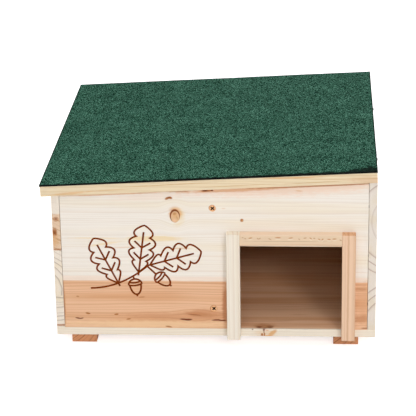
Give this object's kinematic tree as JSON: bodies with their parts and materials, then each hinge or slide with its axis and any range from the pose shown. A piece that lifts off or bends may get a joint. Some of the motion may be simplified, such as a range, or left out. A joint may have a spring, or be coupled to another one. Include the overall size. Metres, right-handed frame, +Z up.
{
  "type": "hedgehog house",
  "caption": "Low pine box house for a hedgehog, with a framed doorway, an inner partition, runners and a side-hinged pent roof covered with green mineral felt.",
  "frame": {"origin": "on the ground, under the middle of the overall footprint", "axes": "+X to the right seen from the front, +Y from the front to the rear, +Z up"},
  "size_m": [0.5004, 0.5166, 0.2868],
  "materials": {
    "cream_pine": "planed untreated pine sapwood, cream, matt",
    "two_tone_pine": "planed untreated pine, cream above and red-brown heartwood below, engraved",
    "frame_pine": "planed pale pine batten, matt",
    "red_pine": "planed peach-coloured pine batten, matt",
    "runner_pine": "sawn red-brown pine batten, matt",
    "roof_pine": "planed yellow pine board, matt",
    "mineral_felt": "green mineral grit on bitumen felt, rough",
    "yellow_zinc_steel": "yellow zinc plated steel, satin",
    "zinc_steel": "bright zinc plated steel, satin"
  },
  "bodies": {
    "house": {"base_board": "cream_pine", "left_side_panel": "cream_pine", "right_side_panel": "cream_pine", "front_panel": "two_tone_pine", "rear_panel": "cream_pine", "inner_partition": "cream_pine", "left_jamb": "frame_pine", "right_jamb": "red_pine", "lintel": "red_pine", "left_runner": "runner_pine", "right_runner": "runner_pine", "left_side_screws": "yellow_zinc_steel", "right_side_screws": "yellow_zinc_steel", "base_screws": "yellow_zinc_steel", "runner_screws": "yellow_zinc_steel", "partition_front_screws": "yellow_zinc_steel", "partition_base_screws": "yellow_zinc_steel", "left_jamb_screws": "yellow_zinc_steel", "right_jamb_screws": "yellow_zinc_steel", "lintel_screws": "yellow_zinc_steel", "front_hinge_wall_leaf": "zinc_steel", "rear_hinge_wall_leaf": "zinc_steel", "front_hinge_pin": "zinc_steel", "rear_hinge_pin": "zinc_steel", "wall_leaf_screws": "zinc_steel"},
    "roof": {"roof_board": "roof_pine", "roof_felt": "mineral_felt", "front_hinge_lid_leaf": "zinc_steel", "rear_hinge_lid_leaf": "zinc_steel", "lid_leaf_screws": "zinc_steel"}
  },
  "joints": [
    {"name": "roof_hinge", "type": "hinge", "parent": "house", "child": "roof", "pos_m": [0.24805, 0.0052, 0.26821], "axis": [0, 1, 0], "range_deg": [0, 180]}
  ]
}
